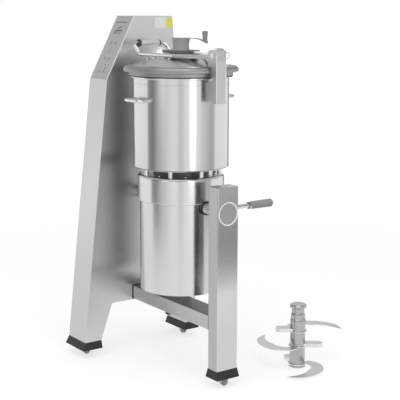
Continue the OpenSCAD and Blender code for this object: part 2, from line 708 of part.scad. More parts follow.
handle_y = bowl_r + handle_out;
handle_bend = 16;
module bowl_handles() color([0.85, 0.85, 0.87]) at_axis() for (s = [0, 1]) mirror([0, s, 0]) intersection() {
    rod_path([for (p = [[-1, -60], [-1, 0], [1, 0], [1, -60]])
        [p[0] * handle_len / 2, handle_y + p[1], handle_z]], handle_bend, handle_d);
    translate([0, 0, handle_z - 20]) difference() {
        cylinder(r = handle_y + 20, h = 40);
        translate([0, 0, -1]) cylinder(r = bowl_r, h = 42, $fn = 128);
    }
}

bracket_back = hinge_x + 22;
bracket_front = hinge_x - 30;
bracket_top_z = hinge_z + 21;
bracket_head_z = ring_top_z + 4;
bracket_round = 10;
shoulder_x = ring_r + 3;
slot_w = bracket_w - 2 * bracket_cheek;
rib_w = 16;
module bracket_block(x, z0, z1) translate([x, -bracket_w / 2, z0])
    cube([bracket_back - x, bracket_w, z1 - z0]);
module hinge_bracket() color([0.8, 0.8, 0.81]) at_axis() difference() {
    union() {
        bracket_block(bracket_back - strap_t, strap_z, ring_z + tiny);
        bracket_block(shoulder_x, ring_z, bracket_head_z + tiny);
        bracket_block(bracket_front, bracket_head_z, bracket_top_z - bracket_round);
        translate([bracket_front + bracket_round, -bracket_w / 2, bracket_head_z])
            cube([bracket_back - bracket_front - 2 * bracket_round, bracket_w,
                bracket_top_z - bracket_head_z]);
        for (x = [bracket_front + bracket_round, bracket_back - bracket_round])
            along_y(x, -bracket_w / 2, bracket_top_z - bracket_round)
                cylinder(r = bracket_round, h = bracket_w);
        difference() {
            translate([bowl_r - 10, -rib_w / 2, strap_z + 10])
                cube([bracket_back - strap_t - bowl_r + 10 + tiny, rib_w, ring_z - strap_z - 30]);
            translate([0, 0, strap_z]) cylinder(r = bowl_r, h = ring_z - strap_z, $fn = 128);
        }
    }
    along_y(hinge_x, -slot_w / 2, hinge_z) cylinder(r = knuckle_r + 0.5, h = slot_w);
    translate([bracket_front - 1, -slot_w / 2, hinge_z - 16])
        cube([hinge_x + 12 - bracket_front, slot_w, 60]);
    along_y(hinge_x, -bracket_w, hinge_z) cylinder(d = hinge_pin_d, h = 2 * bracket_w);
}

pin_ring_d = 22;
module hinge_pin() color([0.88, 0.88, 0.9]) at_axis() {
    along_y(hinge_x, -bracket_w / 2 - 3, hinge_z) cylinder(d = hinge_pin_d, h = bracket_w + 12);
    translate([hinge_x, bracket_w / 2 + 9 + pin_ring_d / 2, hinge_z]) rotate([0, 90, 0])
        rotate_extrude($fn = 48) translate([pin_ring_d / 2, 0]) circle(2, $fn = 16);
}

// Lid
module lid_ring() color([0.6, 0.6, 0.6]) at_axis() rotate_extrude($fn = 128) polygon(concat(
    [[ring_in_r, ring_z], [skirt_r - 1, ring_z], [skirt_r, ring_z + 1], [skirt_r, flange_z],
        [ring_r - 5, flange_z]],
    arc(ring_r - 6, flange_z + 6, 6, -80, 0, 6), arc(ring_r - 16, ring_top_z - 16, 16, 5, 90, 8),
    [[ring_in_r + 4, ring_top_z], [ring_in_r, ring_top_z - 4]]));

dome_r = ring_in_r + 4;
dome_sphere = (dome_r * dome_r + dome_rise * dome_rise) / (2 * dome_rise);
dome_z = ring_top_z + 0.1;
function dome_at(r) = dome_z + dome_t + dome_rise - dome_sphere + sqrt(dome_sphere * dome_sphere - r * r);
hub_seat_r = 44;
saddle_x = [-120, 30];
collar_low_z = dome_at(fill_x + fill_hole_r + 6) - 1.5;
fill_seat_z = dome_at(fill_x - fill_r) + 0.5;
module lid_dome() color([0.8, 0.8, 0.8]) at_axis() difference() {
    union() {
        rotate_extrude($fn = 128) polygon(concat(
            [for (i = [0:16]) let (r = wiper_shaft_d / 2 + 0.05 + (dome_r - wiper_shaft_d / 2) * i / 16)
                [r, dome_at(r) - dome_t]],
            [for (i = [16:-1:0]) let (r = wiper_shaft_d / 2 + 0.05 + (dome_r - wiper_shaft_d / 2) * i / 16)
                [r, dome_at(r)]]));
        translate([0, 0, dome_at(hub_seat_r) - 1]) difference() {
            cylinder(r = hub_seat_r, h = hub_z - seat - dome_at(hub_seat_r) + 1);
            translate([0, 0, -10]) cylinder(d = wiper_shaft_d + 0.1, h = hub_seat_r);
        }
        translate([-fill_x, 0, collar_low_z]) cylinder(r = fill_hole_r + 6, h = fill_seat_z - collar_low_z);
        for (x = saddle_x, s = [-1, 1]) translate([x, s * yoke_y, dome_at(norm([x, yoke_y])) - dome_t])
            cylinder(d = 12, h = yoke_z - yoke_d / 2 - 0.2 - dome_at(norm([x, yoke_y])) + dome_t, $fn = 32);
    }
    translate([-fill_x, 0, ring_z]) cylinder(r = fill_hole_r, h = fill_seat_z - ring_z + 1);
}

module lid_seal() color([0.12, 0.12, 0.12]) at_axis() rotate_extrude($fn = 128)
    polygon([[ring_in_r + 2, ring_z - 4.2], [skirt_r - 1, ring_z - 4.2], [skirt_r - 1, ring_z],
        [ring_in_r + 2, ring_z]]);

yoke_join_x = 60;
yoke_in_y = yoke_d / 2 + 0.5;
yoke_bend = 24;
yoke_rise = 50;
yoke_half = [[hinge_x - 12, yoke_in_y, 0], [bracket_front - 8, yoke_in_y, 0], [yoke_join_x, yoke_y, 0],
    [yoke_rise - yoke_grip_x, yoke_y, 0], [-yoke_grip_x, yoke_y, yoke_lift]];
web_x = hub_rim_r + 8;
web_w = 26;
web_h = 12;
module lid_yoke() color([0.86, 0.86, 0.88]) at_axis() difference() {
    union() {
        translate([0, 0, yoke_z]) rod_path(concat([for (p = yoke_half) [p[0], -p[1], p[2]]],
            [for (i = [4:-1:0]) yoke_half[i]]), yoke_bend, yoke_d);
        along_y(hinge_x, -slot_w / 2 + 0.3, hinge_z) difference() {
            cylinder(r = knuckle_r, h = slot_w - 0.6);
            translate([bracket_back - hinge_x - 0.5, -60, -1]) cube([40, 120, slot_w + 2]);
        }
        translate([web_x, -web_w / 2, yoke_z + yoke_d / 2 - 2])
            cube([bracket_front - 18 - web_x, web_w, web_h]);
    }
    along_y(hinge_x, -slot_w, hinge_z) cylinder(d = hinge_pin_d + 0.1, h = 2 * slot_w);
}

module yoke_sleeve() color([0.86, 0.86, 0.88]) at_axis()
    along_y(-yoke_grip_x, -sleeve_len / 2, yoke_z + yoke_lift) difference() {
        cylinder(d = sleeve_d, h = sleeve_len);
        translate([0, 0, -1]) cylinder(d = yoke_d + 0.2, h = sleeve_len + 2);
    }

spigot_h = 8;
fill_top_r = 18;
cap_rim_h = 4;
module filling_cap() color([0.88, 0.88, 0.88]) at_axis() translate([-fill_x, 0, fill_seat_z + seat])
    rotate_extrude() polygon(concat([[0, 0], [fill_hole_r - 5, 0], [fill_hole_r - 5, -spigot_h],
        [fill_hole_r - 1, -spigot_h], [fill_hole_r - 1, 0], [fill_r, 0]],
        [for (i = [0:8]) let (u = i / 8) [fill_top_r + (fill_r - fill_top_r) * (1 - pow(u, 1.6)),
            cap_rim_h + (fill_h - cap_rim_h - 2) * (1 - pow(1 - u, 1.3))]],
        [[fill_top_r - 2, fill_h], [0, fill_h]]));

// Wiper
wiper_low_z = dome_z - 8;
crank_drop = 16;
crank_w = 22;
function crank_x(u) = hub_rim_r - 3 + (crank_len + 12 - hub_rim_r) * u;
function crank_z(u) = hub_top_z - 1 + 4 * sin(180 * u) - crank_drop * u * u;
hub_foot_flare = 7;
module wiper() color([0.55, 0.56, 0.57]) at_axis() rotate(crank_turn) {
    rotate_extrude() polygon(concat(
        [[0, hub_z], [hub_rim_r + 8, hub_z], [hub_rim_r + 8, hub_z + 4]],
        [for (i = [0:8]) let (u = i / 8) [hub_waist_r + (hub_rim_r - hub_waist_r) * u * u
            + hub_foot_flare * (1 - u) * (1 - u), hub_z + 8 + (hub_top_z - hub_z - 12) * u]],
        [[hub_rim_r, hub_top_z - 3], [hub_rim_r, hub_top_z], [hub_rim_r - 4, hub_top_z],
            [hub_rim_r - 8, hub_top_z - 10], [0, hub_top_z - 10]]));
    translate([0, 0, wiper_low_z]) cylinder(d = wiper_shaft_d, h = hub_z - wiper_low_z + tiny);
    difference() {
        translate([0, crank_w / 2, 0]) rotate([90, 0, 0]) linear_extrude(crank_w) polygon(concat(
            [for (i = [0:12]) [crank_x(i / 12), crank_z(i / 12)]],
            [for (i = [12:-1:0]) [crank_x(i / 12), crank_z(i / 12) - 4]]));
        translate([crank_len, 0, knob_base_z]) cylinder(d = knob_d + 1, h = 20);
    }
    translate([crank_len, 0, knob_base_z - 4]) cylinder(d = knob_d + 3, h = 4);
    translate([crank_len, 0, knob_base_z - tiny]) cylinder(d = 8, h = knob_h - 8);
}

wiper_bar_w = 18;
wiper_bar_t = 6;
module wiper_blade() color([0.85, 0.85, 0.84]) at_axis() rotate(crank_turn)
    translate([0, 0, wiper_low_z + 2])
    difference() {
        union() {
            translate([-ring_in_r + 10, -wiper_bar_w / 2, 0])
                cube([2 * ring_in_r - 20, wiper_bar_w, wiper_bar_t]);
            cylinder(d = wiper_shaft_d + 14, h = wiper_bar_t + 6);
        }
        translate([0, 0, -1]) cylinder(d = wiper_shaft_d, h = 20);
    }
knob_base_z = crank_z((crank_len - hub_rim_r + 3) / (crank_len + 12 - hub_rim_r)) + 2;

module crank_knob() color([0.6, 0.61, 0.62]) at_axis() rotate(crank_turn)
    translate([crank_len, 0, knob_base_z + 0.3]) rotate_extrude() polygon([[4.05, 0],
        [knob_d / 2 - 3, 0], [knob_d / 2 - 2, 3], [knob_d / 2, knob_h - 5],
        [knob_d / 2 - 2, knob_h], [0, knob_h], [0, knob_h - 7], [4.05, knob_h - 7]]);

// Cutter
sweep = 130;
blade_turn_low = -54;
blade_turn_mid = 186;
blade_turn_up = 63;
weight_turn = 226;
weight_turn_up = 170;
function blade_outer(u) = blade_r * (1 - 0.02 * u)
    - (blade_r - cutter_d / 2 - 24) * pow(max(0, (u - 0.12) / 0.88), 1.15);
function blade_width(u) = 60 * pow(u < 0.3 ? u / 0.3 : 1, 0.75) - (u > 0.45 ? 14 * (u - 0.45) : 0);
blade_steps = 20;
function blade_point(u, in) = let (a = sweep * u, r = blade_outer(u) - in * blade_width(u))
    [max(r, cutter_d / 2 - 12 + 8 * (1 - in)) * cos(a), max(r, cutter_d / 2 - 12 + 8 * (1 - in)) * sin(a)];
blade_shape = concat([for (i = [0:blade_steps]) blade_point(i / blade_steps, 0)],
    [for (i = [blade_steps:-1:1]) blade_point(i / blade_steps, 1)]);
function turned(p, a) = [p[0] * cos(a) - p[1] * sin(a), p[0] * sin(a) + p[1] * cos(a)];
blade_turns = [blade_turn_low, blade_turn_mid, blade_turn_up];
cutter_x = side_reach - max([for (t = blade_turns, p = blade_shape) turned(p, t)[0]]);
cutter_y = back_reach - max([for (t = blade_turns, p = blade_shape) turned(p, t)[1]]);

weight_w = 44;
weight_reach = [84, 104, 92];
module cutter_blade(turn, z, weight, reach) translate([0, 0, z]) difference() {
    union() {
        rotate(turn) linear_extrude(blade_t) polygon(blade_shape);
        cylinder(d = cutter_d + 12, h = blade_t);
        rotate(turn + weight) {
            translate([0, -weight_w / 2, 0]) cube([reach - weight_w / 2, weight_w, weight_t]);
            translate([reach - weight_w / 2, 0, 0]) cylinder(d = weight_w, h = weight_t);
        }
    }
    translate([0, 0, -1]) cylinder(d = cutter_core_d, h = weight_t + 2);
    translate([0, 0, blade_t]) cylinder(d = cutter_d + 0.4, h = weight_t);
}

cutter_core_d = 46;
module at_cutter() at_axis() translate([cutter_x, cutter_y, 0]) children();
module blade_lower() color([0.75, 0.76, 0.76]) at_cutter()
    cutter_blade(blade_turn_low, blade_low_z, weight_turn, weight_reach[0]);
module blade_middle() color([0.75, 0.76, 0.76]) at_cutter()
    cutter_blade(blade_turn_mid, blade_mid_z, weight_turn, weight_reach[1]);
module blade_upper() color([0.75, 0.76, 0.76]) at_cutter()
    cutter_blade(blade_turn_up, blade_up_z, weight_turn_up, weight_reach[2]);

cutter_bore_d = shaft_d + 2 * cutter_gap;
flange_z1 = blade_low_z - 0.05;
collar_z = cutter_h - 68;
cap_seat_z = cutter_h - 18;
module cutter_hub() color([0.8, 0.8, 0.81]) at_cutter() difference() {
    union() {
        cylinder(d = cutter_core_d - 0.1, h = cap_seat_z);
        rotate_extrude() polygon([[5, 0], [cutter_d / 2, 0], [cutter_d / 2 + 2.5, 2.5],
            [cutter_d / 2 + 2.5, 8], [cutter_d / 2, flange_z1], [5, flange_z1]]);
    }
    translate([0, 0, -1]) cylinder(d = cutter_bore_d, h = shaft_top_z - shoulder_z + 3);
}

module cutter_sleeve(z0, z1) translate([0, 0, z0 + 0.05]) difference() {
    cylinder(d = cutter_d, h = z1 - z0 - 0.1);
    translate([0, 0, -1]) cylinder(d = cutter_core_d, h = z1 - z0 + 2);
}
module cutter_spacers() color([0.78, 0.78, 0.79]) at_cutter() {
    cutter_sleeve(blade_low_z + blade_t, blade_mid_z);
    cutter_sleeve(blade_mid_z + blade_t, blade_up_z);
    cutter_sleeve(blade_up_z + blade_t, collar_z);
}

module cutter_cap() color([0.8, 0.8, 0.81]) at_cutter() difference() {
    rotate_extrude() polygon([[5, collar_z], [cutter_d / 2 - 1, collar_z], [cutter_d / 2, collar_z + 1],
        [cutter_d / 2, collar_z + 6], [cutter_d / 2 - 2, collar_z + 8], [cutter_d / 2 - 2, collar_z + 26],
        [cutter_d / 2 - 6, collar_z + 32], [26, collar_z + 36], [26, cutter_h - 15], [31, cutter_h - 15],
        [34.5, cutter_h - 12], [34.5, cutter_h - 3], [31, cutter_h], [0, cutter_h], [0, cutter_h - 10],
        [5, cutter_h - 10]]);
    translate([0, 0, collar_z - 1]) cylinder(d = cutter_core_d, h = cap_seat_z - collar_z + 1.05);
    for (s = [-1, 1]) translate([s * 40, 0, collar_z + 20]) cube([24, 60, 16], center = true);
}

console_body();
rear_cover();
control_panel();
display_window();
indicator_lamps();
control_board();
motor_drive();
key_1();
key_2();
key_3();
key_4();
key_5();
key_6();
beam();
post();
post_lid();
foot_cap_front();
foot_cap_rear();
foot_cap_post();
castor_plates();
fork_front();
fork_rear();
fork_post();
wheel_front();
wheel_rear();
wheel_post();
pivot_bushes();
pivot_ring();
cable_gland();
motor_housing();
motor_cover();
motor_base();
stator();
bearings();
trunnions();
lever_rod();
lever_grip();
spacer_studs();
shaft_neck();
bowl();
bowl_handles();
hinge_bracket();
hinge_pin();
rotor();
drive_shaft();
lid_ring();
lid_dome();
lid_seal();
lid_yoke();
yoke_sleeve();
filling_cap();
wiper();
wiper_blade();
crank_knob();
cutter_hub();
cutter_spacers();
cutter_cap();
blade_lower();
blade_middle();
blade_upper();
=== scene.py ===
import math

import bmesh
import bpy
from mathutils import Matrix, Vector


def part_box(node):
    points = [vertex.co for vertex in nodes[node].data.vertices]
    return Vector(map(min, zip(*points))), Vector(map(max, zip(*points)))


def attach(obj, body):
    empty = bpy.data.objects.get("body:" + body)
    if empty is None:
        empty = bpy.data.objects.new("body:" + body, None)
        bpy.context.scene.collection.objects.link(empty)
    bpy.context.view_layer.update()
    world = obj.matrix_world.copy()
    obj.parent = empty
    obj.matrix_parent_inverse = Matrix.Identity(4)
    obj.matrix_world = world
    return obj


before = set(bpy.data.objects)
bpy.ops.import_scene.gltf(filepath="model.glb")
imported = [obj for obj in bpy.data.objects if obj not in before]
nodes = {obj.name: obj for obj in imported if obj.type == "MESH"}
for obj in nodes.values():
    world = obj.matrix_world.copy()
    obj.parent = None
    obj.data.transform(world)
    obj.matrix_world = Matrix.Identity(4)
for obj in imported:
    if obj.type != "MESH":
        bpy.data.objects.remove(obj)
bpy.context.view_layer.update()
print("mixer frame loaded,", len(nodes), "CAD nodes")


def middleOf(name):
    low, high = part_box(name)
    return (low + high) / 2


axisY = middleOf("bowl").y        # the bowl stands on X = 0
pivotZ = middleOf("pivot_ring").z


class Wire:
    # an output socket in a sum: wire * 2 or 1 - wire adds the Math node for it

    def __init__(self, graph, socket):
        self.graph = graph
        self.socket = socket

    def combine(self, operation, other, turned=False):
        first, second = (other, self) if turned else (self, other)
        return self.graph.node("ShaderNodeMath", {"operation": operation}, {0: first, 1: second})

    def __add__(self, other):
        return self.combine("ADD", other)

    def __radd__(self, other):
        return self.combine("ADD", other)

    def __sub__(self, other):
        return self.combine("SUBTRACT", other)

    def __rsub__(self, other):
        return self.combine("SUBTRACT", other, turned=True)

    def __mul__(self, other):
        return self.combine("MULTIPLY", other)

    def __gt__(self, other):
        return self.combine("GREATER_THAN", other)

    def clipped(self):
        return self.graph.node("ShaderNodeClamp", {}, {"Value": self})


class Graph:
    # one material's or the world's node tree

    def __init__(self, tree):
        self.tree = tree
        tree.nodes.clear()

    def node(self, kind, settings, values, output=0):
        made = self.tree.nodes.new(kind)
        for name, setting in settings.items():
            if name == "stops":
                fillRamp(made.color_ramp, setting)
            else:
                setattr(made, name, setting)
        for name, value in values.items():
            if isinstance(value, Wire):
                self.tree.links.new(value.socket, made.inputs[name])
            else:
                made.inputs[name].default_value = value
        return Wire(self, made.outputs[output]) if made.outputs else made

    def noise(self, scale, detail=3.0, roughness=0.5, spread=(1, 1, 1)):
        # spread is how many times finer the noise is along X, Y and Z
        spot = self.node("ShaderNodeTexCoord", {}, {}, "Object")
        place = self.node("ShaderNodeMapping", {}, {"Vector": spot, "Scale": spread})
        values = {"Vector": place, "Scale": scale, "Detail": detail, "Roughness": roughness}
        return self.node("ShaderNodeTexNoise", {}, values)

    def axis(self, name, output="Object"):
        spot = self.node("ShaderNodeTexCoord", {}, {}, output)
        return self.node("ShaderNodeSeparateXYZ", {}, {"Vector": spot}, name)

    def between(self, mask, low, high):
        return self.node("ShaderNodeMapRange", {}, {"Value": mask, "To Min": low, "To Max": high})

    def step(self, value, start, end):
        values = {"Value": value, "From Min": start, "From Max": end}
        return self.node("ShaderNodeMapRange", {"interpolation_type": "SMOOTHSTEP"}, values)

    def blend(self, mask, first, second, way="MIX"):
        settings = {"data_type": "RGBA", "blend_type": way}
        return self.node("ShaderNodeMix", settings, {0: mask, 6: first, 7: second}, 2)

    def bump(self, height, strength, depth):
        return self.node("ShaderNodeBump", {}, {"Height": height, "Strength": strength, "Distance": depth})


def fillRamp(ramp, stops):
    while len(ramp.elements) > 1:
        ramp.elements.remove(ramp.elements[0])
    ramp.elements[0].position, ramp.elements[0].color = stops[0]
    for position, colour in stops[1:]:
        ramp.elements.new(position).color = colour


def grey(level, warmth=0.0):
    return (level * (1 + warmth), level, level * (1 - warmth), 1.0)


def newMaterial(name):
    material = bpy.data.materials.new(name)
    material.use_nodes = True
    return material, Graph(material.node_tree)


def closeMaterial(graph, values):
    shader = graph.node("ShaderNodeBsdfPrincipled", {}, values)
    graph.node("ShaderNodeOutputMaterial", {}, {"Surface": shader})


cameraSetup = {
    "place": (3.3846, -2.4904, 1.4585),
    "headingDegrees": 54.09,     # from +Y towards -X
    "dropDegrees": 10.41,
    "rollDegrees": 0.17,
    "lensMillimetres": 92.96,
    "sensorMillimetres": 36.0,
}


def makeCamera():
    data = bpy.data.cameras.new("photoCamera")
    data.lens = cameraSetup["lensMillimetres"]
    data.sensor_width = cameraSetup["sensorMillimetres"]
    data.clip_start, data.clip_end = 0.05, 200.0
    camera = bpy.data.objects.new("photoCamera", data)
    heading = math.radians(cameraSetup["headingDegrees"])
    drop = math.radians(cameraSetup["dropDegrees"])
    level = Vector((-math.sin(heading), math.cos(heading), 0.0)) * math.cos(drop)
    aim = level + Vector((0, 0, -math.sin(drop)))
    turn = aim.to_track_quat("-Z", "Y").to_matrix().to_4x4()
    roll = Matrix.Rotation(math.radians(cameraSetup["rollDegrees"]), 4, "Z")
    camera.matrix_world = Matrix.Translation(cameraSetup["place"]) @ turn @ roll
    bpy.context.scene.collection.objects.link(camera)
    bpy.context.scene.camera = camera


makeCamera()
bpy.context.scene.view_settings.view_transform = "Standard"
print("camera placed")


studio = {
    "sky": ((0.0, 1.0), (0.12, 1.0), (0.45, 0.66), (1.0, 0.5)),      # sine of the height, grey
    "floorSize": 160.0,
    "floorGrey": 0.46,           # the lit share of the floor, which keeps the shadow
    "floorSpeckle": 0.985,       # the darker specks' share of that grey
    "floorGlow": 0.66,           # the share that is always white, near the mixer
    "farGlow": 0.95,
    "glowReach": (2.0, 8.0),     # where the one starts to turn into the other, and where it ends
}


def makeWorld():
    world = bpy.data.worlds.new("paleStudio")
    world.use_nodes = True
    bpy.context.scene.world = world
    graph = Graph(world.node_tree)
    height = graph.axis("Z", "Generated")
    stops = [(sine, grey(level)) for sine, level in studio["sky"]]
    colour = graph.node("ShaderNodeValToRGB", {"stops": stops}, {"Fac": height})
    sky = graph.node("ShaderNodeBackground", {}, {"Color": colour, "Strength": 1.0})
    graph.node("ShaderNodeOutputWorld", {}, {"Surface": sky})


def floorMaterial():
    material, graph = newMaterial("paleFloor")
    path = "ShaderNodeLightPath"
    seen = graph.node(path, {}, {}, "Is Camera Ray") + graph.node(path, {}, {}, "Is Glossy Ray")
    seen = (seen + graph.node(path, {}, {}, "Is Transmission Ray")).clipped()
    tone = studio["floorGrey"]
    lit = graph.blend(graph.noise(40.0, 4.0), grey(tone * studio["floorSpeckle"]), grey(tone))
    paint = graph.node("ShaderNodeBsdfDiffuse", {}, {"Color": lit})
    spot = graph.node("ShaderNodeTexCoord", {}, {}, "Object")
    away = graph.node("ShaderNodeVectorMath", {"operation": "LENGTH"}, {0: spot}, "Value")
    glow = graph.between(graph.step(away, *studio["glowReach"]), studio["floorGlow"], studio["farGlow"])
    shine = graph.node("ShaderNodeEmission", {}, {"Color": grey(1.0), "Strength": seen * glow})
    both = graph.node("ShaderNodeAddShader", {}, {0: paint, 1: shine})
    graph.node("ShaderNodeOutputMaterial", {}, {"Surface": both})
    return material


# dark gauze that the turned steel mirrors: heading from the bowl in degrees, width, and how
# dense it is along its width, from the lower heading to the higher
flags = {
    "left": {"heading": -86.0, "width": 3.4,
             "dense": ((0.0, 0.60), (0.11, 0.74), (0.27, 0.82), (0.43, 0.53),
                       (0.56, 0.41), (0.69, 0.28), (0.83, 0.09), (1.0, 0.0))},
    "middle": {"heading": -35.0, "width": 0.9,
               "dense": ((0.0, 0.0), (0.3, 0.28), (0.7, 0.20), (1.0, 0.0))},
    "edge": {"heading": 114.0, "width": 0.8,
             "dense": ((0.0, 0.0), (0.2, 0.75), (0.8, 0.75), (1.0, 0.0))},
    "right": {"heading": 28.0, "width": 2.0,
              "dense": ((0.0, 0.0), (0.16, 0.19), (0.40, 0.28), (0.65, 0.48), (1.0, 0.50))},
}
gauze = {"height": 2.6, "distance": 2.7, "grey": 0.12, "darkThread": 0.8}


def flagMaterial(name, width, dense):
    material, graph = newMaterial(name)
    along = graph.axis("X") * (1 / width) + 0.5
    stops = [(place, grey(share)) for place, share in dense]
    density = graph.node("ShaderNodeValToRGB", {"stops": stops}, {"Fac": along})
    tone = gauze["grey"]
    weave = graph.blend(graph.noise(300.0, 2.0), grey(tone * gauze["darkThread"]), grey(tone))
    closeMaterial(graph, {"Base Color": weave, "Roughness": 0.95, "Specular IOR Level": 0.0,
                          "Alpha": density})
    return material


def stagePlane(name, corners, place, material):
    mesh = bpy.data.meshes.new(name)
    mesh.from_pydata(corners, [], [(0, 1, 2, 3)])
    mesh.materials.append(material)
    plane = bpy.data.objects.new(name, mesh)
    plane.location = place
    bpy.context.scene.collection.objects.link(plane)
    return plane


def aroundBowl(heading, distance, height):
    # a point at that heading and distance from the bowl's axis
    angle = math.radians(heading)
    return Vector((math.cos(angle) * distance, math.sin(angle) * distance + axisY, height))


def makeStage():
    half = studio["floorSize"] / 2
    floor = [(-half, -half, 0), (half, -half, 0), (half, half, 0), (-half, half, 0)]
    stagePlane("floor", floor, (0, 0, 0), floorMaterial())
    for name, look in flags.items():
        half, top = look["width"] / 2, gauze["height"]
        standing = [(-half, 0, 0), (half, 0, 0), (half, 0, top), (-half, 0, top)]
        cloth = flagMaterial(f"gauze_{name}", look["width"], look["dense"])
        flag = stagePlane(f"flag_{name}", standing,
                          aroundBowl(look["heading"], gauze["distance"], 0), cloth)
        flag.rotation_euler = (0, 0, math.radians(look["heading"]) + math.pi / 2)
        flag.visible_camera = False
        flag.visible_diffuse = False
        flag.visible_shadow = False


softBoxes = {
    "key": {"heading": -8.0, "height": 1.5, "distance": 2.9, "size": (0.7, 2.2), "watts": 8.0},
    "fill": {"heading": -80.0, "height": 2.0, "distance": 3.4, "size": (1.1, 2.2), "watts": 8.0},
    "top": {"heading": -40.0, "height": 3.6, "distance": 0.8, "size": (2.4, 2.4), "watts": 26.0},
}
aimHeight = 0.8     # where on the bowl's axis the lamps point


def makeLamps():
    target = Vector((0, axisY, aimHeight))
    for name, box in softBoxes.items():
        data = bpy.data.lights.new(name, "AREA")
        data.shape = "RECTANGLE"
        data.size, data.size_y = box["size"]
        data.energy = box["watts"]
        lamp = bpy.data.objects.new(name, data)
        lamp.location = aroundBowl(box["heading"], box["distance"], box["height"])
        lamp.rotation_euler = (target - lamp.location).to_track_quat("-Z", "Y").to_euler()
        lamp.visible_camera = False
        bpy.context.scene.collection.objects.link(lamp)


makeWorld()
makeStage()
makeLamps()
print("stage and lamps ready")


evenShade = ((0.0, 1.0), (1.0, 1.0))
sheetSteel = {
    # the last three entries are painted shade and painted highlight: heights in metres and how bright the
    # faces across X are painted there, then how bright the faces across Y and the upper face are painted
    # painted highlight: the console's faces across X are painted lighter, most of all at the top
    "consoleSheet": {"tone": 0.56, "drift": 0.05, "roughness": 0.30, "grain": 0.06,
                     "paintedFrontShade": 1.0, "paintedTopShade": 1.0,
                     "paintedSideShade": ((0.25, 1.12), (0.55, 1.15), (0.80, 1.06), (1.10, 1.03), (1.38, 1.38))},
    # painted shade and highlight: the post's faces across X carry painted bands by height, its faces across
    # Y are painted darker
    "frameSheet": {"tone": 0.54, "drift": 0.05, "roughness": 0.28, "grain": 0.06,
                   "paintedFrontShade": 0.84, "paintedTopShade": 1.0,
                   "paintedSideShade": ((0.22, 1.12), (0.36, 1.24), (0.385, 1.22), (0.443, 0.90), (0.51, 0.66),
                                 (0.57, 0.60), (0.64, 0.64), (0.71, 0.80), (0.80, 0.92))},
    # painted shade: the beam's upper face is painted dark as the shade under the motor
    "beamSheet": {"tone": 0.54, "drift": 0.05, "roughness": 0.28, "grain": 0.06,
                  "paintedFrontShade": 0.9, "paintedTopShade": 0.20, "paintedSideShade": evenShade},
    "panelSheet": {"tone": 0.54, "drift": 0.03, "roughness": 0.36, "grain": 0.05,
                   "paintedFrontShade": 1.0, "paintedTopShade": 1.0, "paintedSideShade": evenShade},
    # painted highlight: the hinge strap's faces across X are painted lighter
    "bracketSheet": {"tone": 0.55, "drift": 0.04, "roughness": 0.40, "grain": 0.05,
                     "paintedFrontShade": 1.0, "paintedTopShade": 1.0, "paintedSideShade": ((1.0, 1.22), (1.4, 1.30))},
}
shadeTop = 1.5     # above every height and shade in the lists, since a ramp only reaches from 0 to 1
brushed = {"across": 1100, "along": 5}      # how fine the brush lines are, per metre


def brushLines(graph, upright):
    across, along = brushed["across"], brushed["along"]
    return graph.noise(1.0, 3.0, 0.6, (across, across, along) if upright else (across, along, across))


def brushedSheet(name):
    # sheet brushed along its length: upright on front faces, level on the two side faces
    look = sheetSteel[name]
    material, graph = newMaterial(name)
    upright = brushLines(graph, True)
    level = brushLines(graph, False)
    side = graph.node("ShaderNodeMath", {"operation": "ABSOLUTE"}, {0: graph.axis("X", "Normal")}) > 0.6
    grain = upright * (1 - side) + level * side
    cloud = graph.noise(3.2, 4.0, 0.55)
    smudge = graph.noise(17.0, 5.0, 0.6)
    tone = look["tone"]
    base = graph.blend(grain, grey(tone - look["grain"], -0.004), grey(tone + look["grain"], -0.004))
    darker = graph.blend(cloud, grey(tone - look["drift"], -0.006), grey(tone + look["drift"], -0.002))
    colour = graph.blend(0.45, base, darker)
    rough = graph.between(cloud, look["roughness"] - 0.05, look["roughness"] + 0.05)
    rough = rough + (grain - 0.5) * 0.10 + (smudge - 0.5) * 0.08
    # painted shade and painted highlight: the colour is darkened or lightened by which way a face looks and,
    # across X, by its height
    stops = [(height / shadeTop, grey(share / shadeTop)) for height, share in look["paintedSideShade"]]
    height = graph.axis("Z") * (1 / shadeTop)
    along = graph.node("ShaderNodeValToRGB", {"stops": stops}, {"Fac": height}) * shadeTop
    upward = graph.axis("Z", "Normal") > 0.9
    share = (along * side + (1 - side) * look["paintedFrontShade"]) * (1 - upward) + upward * look["paintedTopShade"]
    colour = graph.blend(1.0, colour, share, "MULTIPLY")
    normal = graph.bump(grain, 0.10, 0.0002)
    closeMaterial(graph, {"Base Color": colour, "Metallic": 1.0, "Roughness": rough, "Normal": normal})
    return material


turnedSteel = {
    "bowlShell": {"tone": 0.58, "roughness": 0.19, "grain": 0.05, "stretch": 0.55},
    "motorShell": {"tone": 0.64, "roughness": 0.20, "grain": 0.05, "stretch": 0.55},
    "domeShell": {"tone": 0.58, "roughness": 0.27, "grain": 0.04, "stretch": 0.3},
    "ringCasting": {"tone": 0.34, "roughness": 0.46, "grain": 0.02, "stretch": 0.0},
    "capPressing": {"tone": 0.88, "roughness": 0.48, "grain": 0.04, "stretch": 0.3},
}
turnedLines = (3, 3, 1400)     # how fine the level rings are along X, Y and Z, per metre


def turnedShell(name):
    # turned or ground round its axis, with fine level rings and faint polishing marks
    look = turnedSteel[name]
    material, graph = newMaterial(name)
    rings = graph.noise(1.0, 3.0, 0.55, turnedLines)
    swirl = graph.noise(6.0, 4.0, 0.55, (1, 1, 0.25))
    smudge = graph.noise(22.0, 5.0, 0.6)
    tone = look["tone"]
    fine = graph.blend(rings, grey(tone - look["grain"]), grey(tone + look["grain"]))
    wide = graph.blend(swirl, grey(tone * 0.94), grey(tone * 1.05))
    colour = graph.blend(0.5, fine, wide)
    rough = look["roughness"] + (rings - 0.5) * 0.08 + (smudge - 0.5) * 0.09
    normal = graph.bump(rings, 0.05, 0.0002)
    closeMaterial(graph, {"Base Color": colour, "Metallic": 1.0, "Roughness": rough, "Normal": normal,
                          "Anisotropic": look["stretch"], "Anisotropic Rotation": 0.25})
    return material


